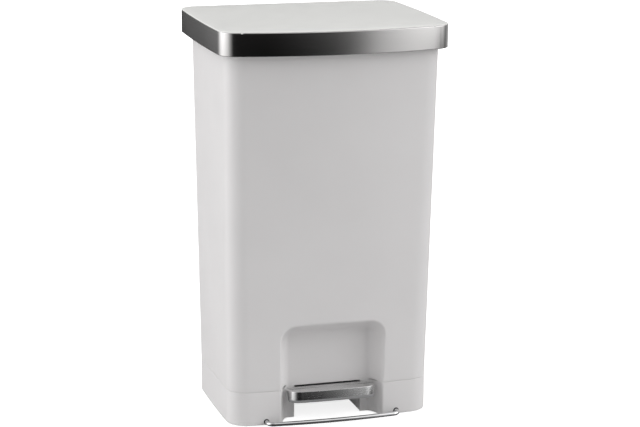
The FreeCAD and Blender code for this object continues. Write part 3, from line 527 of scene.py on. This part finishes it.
def make_base():
    """Skirt below the parting line, open at the pedal notch, with its deck, walls and ribs."""
    levels = [SKIRT_BOTTOM] + [SKIRT_BOTTOM + 3 * step for step in range(1, 18)] + [NOTCH_TOP, SKIRT_TOP]
    rings = [tub_ring(z) for z in levels]
    vertices, faces = skin(rings)
    count = len(rings[0])
    kept = []
    for face in faces:
        middle = sum((vertices[corner] for corner in face), Vector()) / len(face)
        in_notch = abs(middle.x) < NOTCH_HALF and middle.y < RECESS_BACK + 5 and middle.z < NOTCH_TOP
        if not in_notch:
            kept.append(face)
    skirt = new_object("skirt", vertices, kept)
    wall = skirt.modifiers.new("wall", "SOLIDIFY")
    wall.thickness = SKIRT_WALL * MM
    wall.offset = -1
    wall.use_even_offset = True
    softened(skirt, 0.7)
    for side in (-1, 1):
        drilled(skirt, (side * BAR_ENTRY, -118, BAR_LEVEL), (0, 1, 0), BAR_HOLE_RADIUS, 30)
    finish_piece(skirt, "can", "shell_plastic", "base_frame")

    under, over = tub_ring(NOTCH_TOP, 2.6, 2.6), tub_ring(SKIRT_TOP - 0.15, 2.6, 2.6)
    vertices, faces = skin([under, over], first_cap=Vector((0, 20, NOTCH_TOP)),
                           last_cap=Vector((0, 20, SKIRT_TOP - 0.15)))
    deck = drilled(new_object("deck", vertices, faces), ROD_HOLE, (0, 0, 1), ROD_HOLE_RADIUS, 12)
    finish_piece(deck, "can", "shell_plastic")

    for side, name in ((-1, "left"), (1, "right")):
        inner, outer = side * NOTCH_HALF, side * (NOTCH_HALF + SKIRT_WALL)
        wall = rounded_block(f"tunnel_{name}", (min(inner, outer), RECESS_BACK + 1, SKIRT_BOTTOM),
                             (max(inner, outer), 6, NOTCH_TOP + 0.5), 0.5, 2)
        middle = side * (NOTCH_HALF + SKIRT_WALL / 2)
        drilled(wall, (middle, PIVOT.y, PIVOT.z), (1, 0, 0), AXLE_HOLE_RADIUS, 12)
        finish_piece(wall, "can", "shell_plastic")
        rib = rounded_block(f"rib_{name}", (side * BAR_ENTRY - 13, -74, 10.6),
                            (side * BAR_ENTRY + 13, -66, NOTCH_TOP + 0.5), 0.6, 2)
        finish_piece(rib, "can", "shell_plastic")
    inside = ring_points(inset_shape(TUB_BASE, 1.5))
    low, high = SKIRT_BOTTOM + 0.1, SKIRT_BOTTOM + SKIRT_WALL
    for x, y, name in FOOT_SPOTS:
        outline = [spot for spot in inside if abs(spot.x - x) < 26 and abs(spot.y - y) < 26]
        outline.append(Vector((x - math.copysign(20, x), y - math.copysign(18, y))))
        outline.sort(key=lambda spot: math.atan2(spot.y - y, spot.x - x))
        levels = [[Vector((*spot, z)) for spot in outline] for z in (low, high)]
        vertices, faces = skin(levels, first_cap=Vector((x, y, low)), last_cap=Vector((x, y, high)))
        plate = drilled(new_object(f"plate_{name}", vertices, faces), (x, y, low), (0, 0, 1), 4, 12)
        finish_piece(plate, "can", "shell_plastic")


make_base()


# ---------------------------------------------------------------- lid

TAB_SPOT = 152


def lid_ring(z, inset):
    return [Vector((point.x, point.y, z)) for point in ring_points(inset_shape(LID, inset))]


def make_lid_top():
    """Crowned panel whose edge rolls over the steel band."""
    low = LID_BOTTOM + 1
    profile = [(CROWN - 2.6, 110), (CROWN - 4, 45), (BAND_TOP - 0.6, 9), (BAND_TOP - 3, 4),
               (BAND_TOP - 8, 3.5), (low + 0.5, 3.5), (low, 3), (low, 1.6), (low + 0.5, 1.1),
               (BAND_TOP - 0.8, 1.1),
               (BAND_TOP + 0.05, 0.9), (BAND_TOP + 0.1, 0.4), (BAND_TOP + 0.5, 0.15), (BAND_TOP + 1.1, 0.35),
               (BAND_TOP + 1.7, 1.1), (BAND_TOP + 2.15, 2.4), (BAND_TOP + 2.4, 4.5), (BAND_TOP + 2.8, 10),
               (BAND_TOP + 3.5, 22), (BAND_TOP + 4.3, 45), (BAND_TOP + 5.0, 75), (CROWN, 110)]
    rings = [lid_ring(z, inset) for z, inset in profile]
    vertices, faces = skin(rings, first_cap=Vector((0, 10, CROWN - 2.5)), last_cap=Vector((0, 10, CROWN)))
    finish_piece(new_object("lid_panel", vertices, faces, 50), "lid", "lid_plastic", "lid_top")
    for side, name in ((-1, "left"), (1, "right")):
        nearest = min(lid_ring(0, 0), key=lambda spot: abs(spot.x - side * TAB_SPOT) + 10 * (spot.y > 0))
        tab = rounded_block(f"snap_tab_{name}", (nearest.x - 3, nearest.y + 0.05, BAND_TOP - 1.5),
                            (nearest.x + 3, nearest.y + 3, BAND_TOP + 0.6), 0.4, 2)
        finish_piece(tab, "lid", "lid_plastic")


def make_band():
    """Thin brushed band round the lid with slightly turned edges."""
    profile = [(LID_BOTTOM, 0.9), (LID_BOTTOM, 0.35), (LID_BOTTOM + 0.35, 0.05), (LID_BOTTOM + 1, 0),
               (BAND_TOP - 1, 0), (BAND_TOP - 0.4, 0.05), (BAND_TOP - 0.05, 0.35), (BAND_TOP, 0.9),
               (LID_BOTTOM, 0.9)]
    vertices, faces = skin([lid_ring(z, inset) for z, inset in profile])
    finish_piece(new_object("band", vertices, faces, 50), "lid", "band_steel", "lid_band")


make_lid_top()
make_band()


# ---------------------------------------------------------------- pedal

PEDAL_FRONT = -124
PEDAL_BOW = 2.6
PEDAL_REACH = 54
PEDAL_CORNER = 18.5
PEDAL_HALF = 72.5
ARM_HALF = 53.5
HUB_RADIUS = 9
COVER_HEM = -1.9
SHEET = 0.85


def pedal_spot(x, along, up):
    """World point from the pedal's own frame: along its length and square to its tread."""
    y = along * math.cos(PEDAL_TILT) + up * math.sin(PEDAL_TILT)
    z = -along * math.sin(PEDAL_TILT) + up * math.cos(PEDAL_TILT)
    return PIVOT + Vector((x, y, z))


def pedal_outline():
    """Plan of the tread, anticlockwise from the left end of its bowed front."""
    points = []
    for step in range(-20, 20):
        x = PEDAL_REACH * step / 20
        points.append(Vector((x, PEDAL_FRONT - PEDAL_BOW * (1 - (x / PEDAL_REACH) ** 2))))
    lean = math.atan(2 * PEDAL_BOW / PEDAL_REACH)
    side = []
    for step in range(9):
        turn = lean + (math.pi / 2 - lean) * step / 8
        side.append(Vector((PEDAL_HALF - PEDAL_CORNER + PEDAL_CORNER * math.sin(turn),
                            PEDAL_FRONT + PEDAL_CORNER - PEDAL_CORNER * math.cos(turn))))
    side += [Vector(spot) for spot in ((73.3, -101.5), (73.2, -98.6), (71.8, -96.4), (69, -93.6), (64, -89.9),
                                       (58, -85.7), (56.2, -84.6), (54.6, -84))]
    points += side
    points += [Vector((54.6 - 109.2 * step / 12, -84)) for step in range(1, 12)]
    points += [Vector((-spot.x, spot.y)) for spot in reversed(side)]
    return points


PEDAL_PLAN = pedal_outline()


def tread_height(spot):
    """Top of the cover above the pedal's own level; it rises slightly to the back."""
    return 12.35 + 0.044 * (spot.y + 126.5)


def front_share(spot):
    """1 at the front edge, 0 along the sides and the back."""
    start, end = -100, -108
    share = min(max((spot.y - start) / (end - start), 0), 1)
    return share * share * (3 - 2 * share)


def pedal_ring(level):
    """One ring round the tread; level gives the inset and the height at each point of the plan.

    The front leans back towards its foot, so that it stands upright while the pedal is tilted.
    """
    ring = []
    for k, spot in enumerate(PEDAL_PLAN):
        along = PEDAL_PLAN[(k + 1) % len(PEDAL_PLAN)] - PEDAL_PLAN[k - 1]
        inward = Vector((-along.y, along.x)).normalized()
        inset, up = level(spot)
        moved = spot + inward * inset
        lean = (tread_height(spot) - up) * 0.12 * front_share(spot)
        ring.append(pedal_spot(moved.x, moved.y + lean, up))
    return ring


def make_pedal_cover():
    """Brushed sheet over the tread, turned down over its front."""
    def hem(spot):
        top = tread_height(spot) - 0.9
        return top + (COVER_HEM - top) * front_share(spot)

    def wall(inset, drop):
        return lambda spot: (inset, tread_height(spot) - drop)

    rings = [pedal_ring(wall(8, 0.8)), pedal_ring(wall(1.6, 0.8)),
             pedal_ring(lambda spot: (0.8, hem(spot))), pedal_ring(lambda spot: (0, hem(spot))),
             pedal_ring(wall(0, 0.85)), pedal_ring(wall(0.1, 0.5)), pedal_ring(wall(0.35, 0.2)),
             pedal_ring(wall(0.7, 0.04)), pedal_ring(wall(1.2, 0)), pedal_ring(wall(9, 0))]
    middle = Vector((0, -101))
    top = tread_height(middle)
    vertices, faces = skin(rings, first_cap=pedal_spot(0, middle.y, top - 0.8),
                           last_cap=pedal_spot(0, middle.y, top))
    finish_piece(new_object("tread_cover", vertices, faces, 60), "pedal", "cover_steel", "pedal_cover")


def make_pedal_pad():
    """Moulded tread under the cover with a lip below the front plate, and its arm."""
    def low(spot):
        return 3 + (-6.4 - 3) * front_share(spot)

    def lip(spot):
        side = tread_height(spot) - 1.7
        return side + (-2 - side) * front_share(spot)

    rings = [pedal_ring(lambda spot: (8, 3)), pedal_ring(lambda spot: (4, 3)),
             pedal_ring(lambda spot: (3, low(spot))), pedal_ring(lambda spot: (0.5, low(spot))),
             pedal_ring(lambda spot: (0.15, low(spot) + 0.5)), pedal_ring(lambda spot: (0.15, lip(spot))),
             pedal_ring(lambda spot: (0.9, lip(spot) + 0.05)),
             pedal_ring(lambda spot: (0.9, tread_height(spot) - SHEET)),
             pedal_ring(lambda spot: (6, tread_height(spot) - SHEET))]
    middle = Vector((0, -101))
    vertices, faces = skin(rings, first_cap=pedal_spot(0, middle.y, 3),
                           last_cap=pedal_spot(0, middle.y, tread_height(middle) - SHEET))
    finish_piece(new_object("tread", vertices, faces, 50), "pedal", "pedal_plastic", "pedal_pad")

    hub = [(-12.5, HUB_RADIUS)]
    hub += [(HUB_RADIUS * math.cos(turn), HUB_RADIUS * math.sin(turn)) for turn in
            (math.radians(90 - 15 * step) for step in range(13))]
    hub += [(-HUB_RADIUS, -HUB_RADIUS), (-12.5, 3)]
    arm = [(-84.5, 13), (-20, HUB_RADIUS), (-12, HUB_RADIUS), (-12, 3), (-84.5, 3)]
    shapes = [("arm", arm, -ARM_HALF, ARM_HALF), ("hub_left", hub, -ARM_HALF, -10.5),
              ("hub_right", hub, 10.5, ARM_HALF)]
    for name, outline, left, right in shapes:
        ends = [[pedal_spot(x, along, up) for along, up in outline] for x in (left, right)]
        count = len(outline)
        vertices, faces = skin(ends)
        faces += [tuple(range(count)), tuple(range(2 * count - 1, count - 1, -1))]
        piece = new_object(name, vertices, faces)
        if name != "arm":
            drilled(piece, pedal_spot((left + right) / 2, 0, 0), (1, 0, 0), AXLE_HOLE_RADIUS, 60)
        finish_piece(softened(piece, 0.5), "pedal", "pedal_plastic")


make_pedal_cover()
make_pedal_pad()


# ---------------------------------------------------------------- camera, floor and light

TARGET = Vector((16.23, 13, 315.26)) * MM
AZIMUTH = math.radians(-16.33)
ELEVATION = math.radians(13.31)
DISTANCE = 3.434
LENS = 116.6
ROLL = math.radians(0.3)


def make_camera():
    """Camera that looks at TARGET from AZIMUTH (0 is straight in front) and ELEVATION."""
    camera_data = bpy.data.cameras.new("camera")
    camera_data.lens = LENS
    camera_data.sensor_width = 36
    camera = bpy.data.objects.new("camera", camera_data)
    bpy.context.scene.collection.objects.link(camera)
    back = Vector((math.sin(AZIMUTH) * math.cos(ELEVATION), -math.cos(AZIMUTH) * math.cos(ELEVATION),
                   math.sin(ELEVATION)))
    camera.location = TARGET + back * DISTANCE
    turn = back.to_track_quat("Z", "Y").to_matrix().to_4x4()
    camera.matrix_world = Matrix.Translation(camera.location) @ turn @ Matrix.Rotation(ROLL, 4, "Z")
    bpy.context.scene.camera = camera


def flat_plane(name, reach, tone, glow):
    """A level plane at the floor, with a faint grain."""
    corners = [(-reach, -reach, 0), (reach, -reach, 0), (reach, reach, 0), (-reach, reach, 0)]
    plane = new_object(name, corners, [(0, 1, 2, 3)])
    material, nodes, links, shader = new_material(name)
    grain = stretched_noise(nodes, links, 300, detail=2)
    dark, light = (tone * 0.98,) * 3, (tone * 1.02,) * 3
    links.new(tinted(nodes, links, grain, dark, light), shader.inputs["Base Color"])
    shader.inputs["Roughness"].default_value = 0.9
    shader.inputs["Specular IOR Level"].default_value = 0
    shader.inputs["Emission Color"].default_value = (1, 1, 1, 1)
    shader.inputs["Emission Strength"].default_value = glow
    plane.data.materials.append(material)
    plane.visible_glossy = False
    return plane


def make_floor():
    """A white floor to look at, and a greyer one that the object's own light comes back from."""
    seen = flat_plane("floor", 15000, 0.9, 0.8)
    seen.visible_diffuse = False
    seen.visible_shadow = False
    bounce = flat_plane("floor_bounce", 1800, BOUNCE_TONE, 0)
    bounce.location.z = -0.5 * MM
    bounce.visible_camera = False


def world_math(nodes, links, operation, first, second):
    """A math node fed by sockets or plain numbers."""
    node = nodes.new("ShaderNodeMath")
    node.operation = operation
    for socket, value in ((node.inputs[0], first), (node.inputs[1], second)):
        if isinstance(value, (int, float)):
            socket.default_value = value
        else:
            links.new(value, socket)
    return node.outputs[0]


# Light from the studio walls by azimuth in degrees (0 is in front, positive to the right).
WALL_LIGHT = [(-180, 0.02), (-172, 0.01), (-169.5, 0.14), (-168, 0.03), (-161, 0.08), (-154, 0.14),
              (-140, 0.2), (-128, 0.5), (-118, 0.65), (-96, 0.8), (-84, 0.8), (-66, 0.7), (-50, 0.3),
              (-36, 0.02), (-4, 0.005), (6, 0.02), (15, 0.05), (20, 0.11), (24, 0.28), (28, 0.56), (38, 0.82),
              (46, 0.88), (50, 0.3), (55, 0.05), (96, 0.02), (115, 0.4), (150, 0.4), (165, 0.1)]
# Soft lamps: azimuth, elevation, strength and how tightly each one is gathered.
LAMPS = [(68, 25, 2.8, 9), (-110, 28, 2.1, 4), (28, 45, 0.65, 8)]
CEILING_LIGHT = 0.36
GROUND_LIGHT = 0.1
BOUNCE_TONE = 0.62


def make_world():
    """A studio: light ceiling, pale floor and walls that change with azimuth."""
    world = bpy.data.worlds.new("studio")
    bpy.context.scene.world = world
    world.use_nodes = True
    nodes, links = world.node_tree.nodes, world.node_tree.links
    coordinates = nodes.new("ShaderNodeTexCoord")
    split = nodes.new("ShaderNodeSeparateXYZ")
    links.new(coordinates.outputs["Generated"], split.inputs[0])
    forward = world_math(nodes, links, "MULTIPLY", split.outputs["Y"], -1)
    azimuth = world_math(nodes, links, "ARCTAN2", split.outputs["X"], forward)
    share = world_math(nodes, links, "ADD", world_math(nodes, links, "DIVIDE", azimuth, 2 * math.pi), 0.5)
    ramp = nodes.new("ShaderNodeValToRGB")
    stops = ramp.color_ramp.elements
    brightest = max(value for degrees, value in WALL_LIGHT)
    for number, (degrees, value) in enumerate(WALL_LIGHT):
        place = degrees / 360 + 0.5
        stop = stops[number] if number < 2 else stops.new(place)
        stop.position = place
        tone = value / brightest
        stop.color = (tone, tone, tone, 1)
    links.new(share, ramp.inputs["Fac"])
    light = world_math(nodes, links, "MULTIPLY", ramp.outputs["Color"], brightest)
    for low, high, value in ((0.25, 0.5, CEILING_LIGHT), (-0.42, -0.6, GROUND_LIGHT)):
        band = nodes.new("ShaderNodeMapRange")
        band.interpolation_type = "SMOOTHSTEP"
        band.inputs["From Min"].default_value = low
        band.inputs["From Max"].default_value = high
        links.new(split.outputs["Z"], band.inputs["Value"])
        mix = nodes.new("ShaderNodeMix")
        links.new(band.outputs["Result"], mix.inputs["Factor"])
        links.new(light, mix.inputs["A"])
        mix.inputs["B"].default_value = value
        light = mix.outputs["Result"]
    for azimuth_degrees, elevation_degrees, strength, focus in LAMPS:
        turn, rise = math.radians(azimuth_degrees), math.radians(elevation_degrees)
        facing = nodes.new("ShaderNodeVectorMath")
        facing.operation = "DOT_PRODUCT"
        links.new(coordinates.outputs["Generated"], facing.inputs[0])
        facing.inputs[1].default_value = (math.sin(turn) * math.cos(rise), -math.cos(turn) * math.cos(rise),
                                          math.sin(rise))
        near = world_math(nodes, links, "MAXIMUM", facing.outputs["Value"], 0)
        lamp = world_math(nodes, links, "MULTIPLY", world_math(nodes, links, "POWER", near, focus), strength)
        light = world_math(nodes, links, "ADD", light, lamp)
    links.new(light, nodes["Background"].inputs["Strength"])
    nodes["Background"].inputs["Color"].default_value = (1, 1, 1, 1)


make_camera()
make_floor()
make_world()
bpy.context.scene.view_settings.view_transform = "Standard"
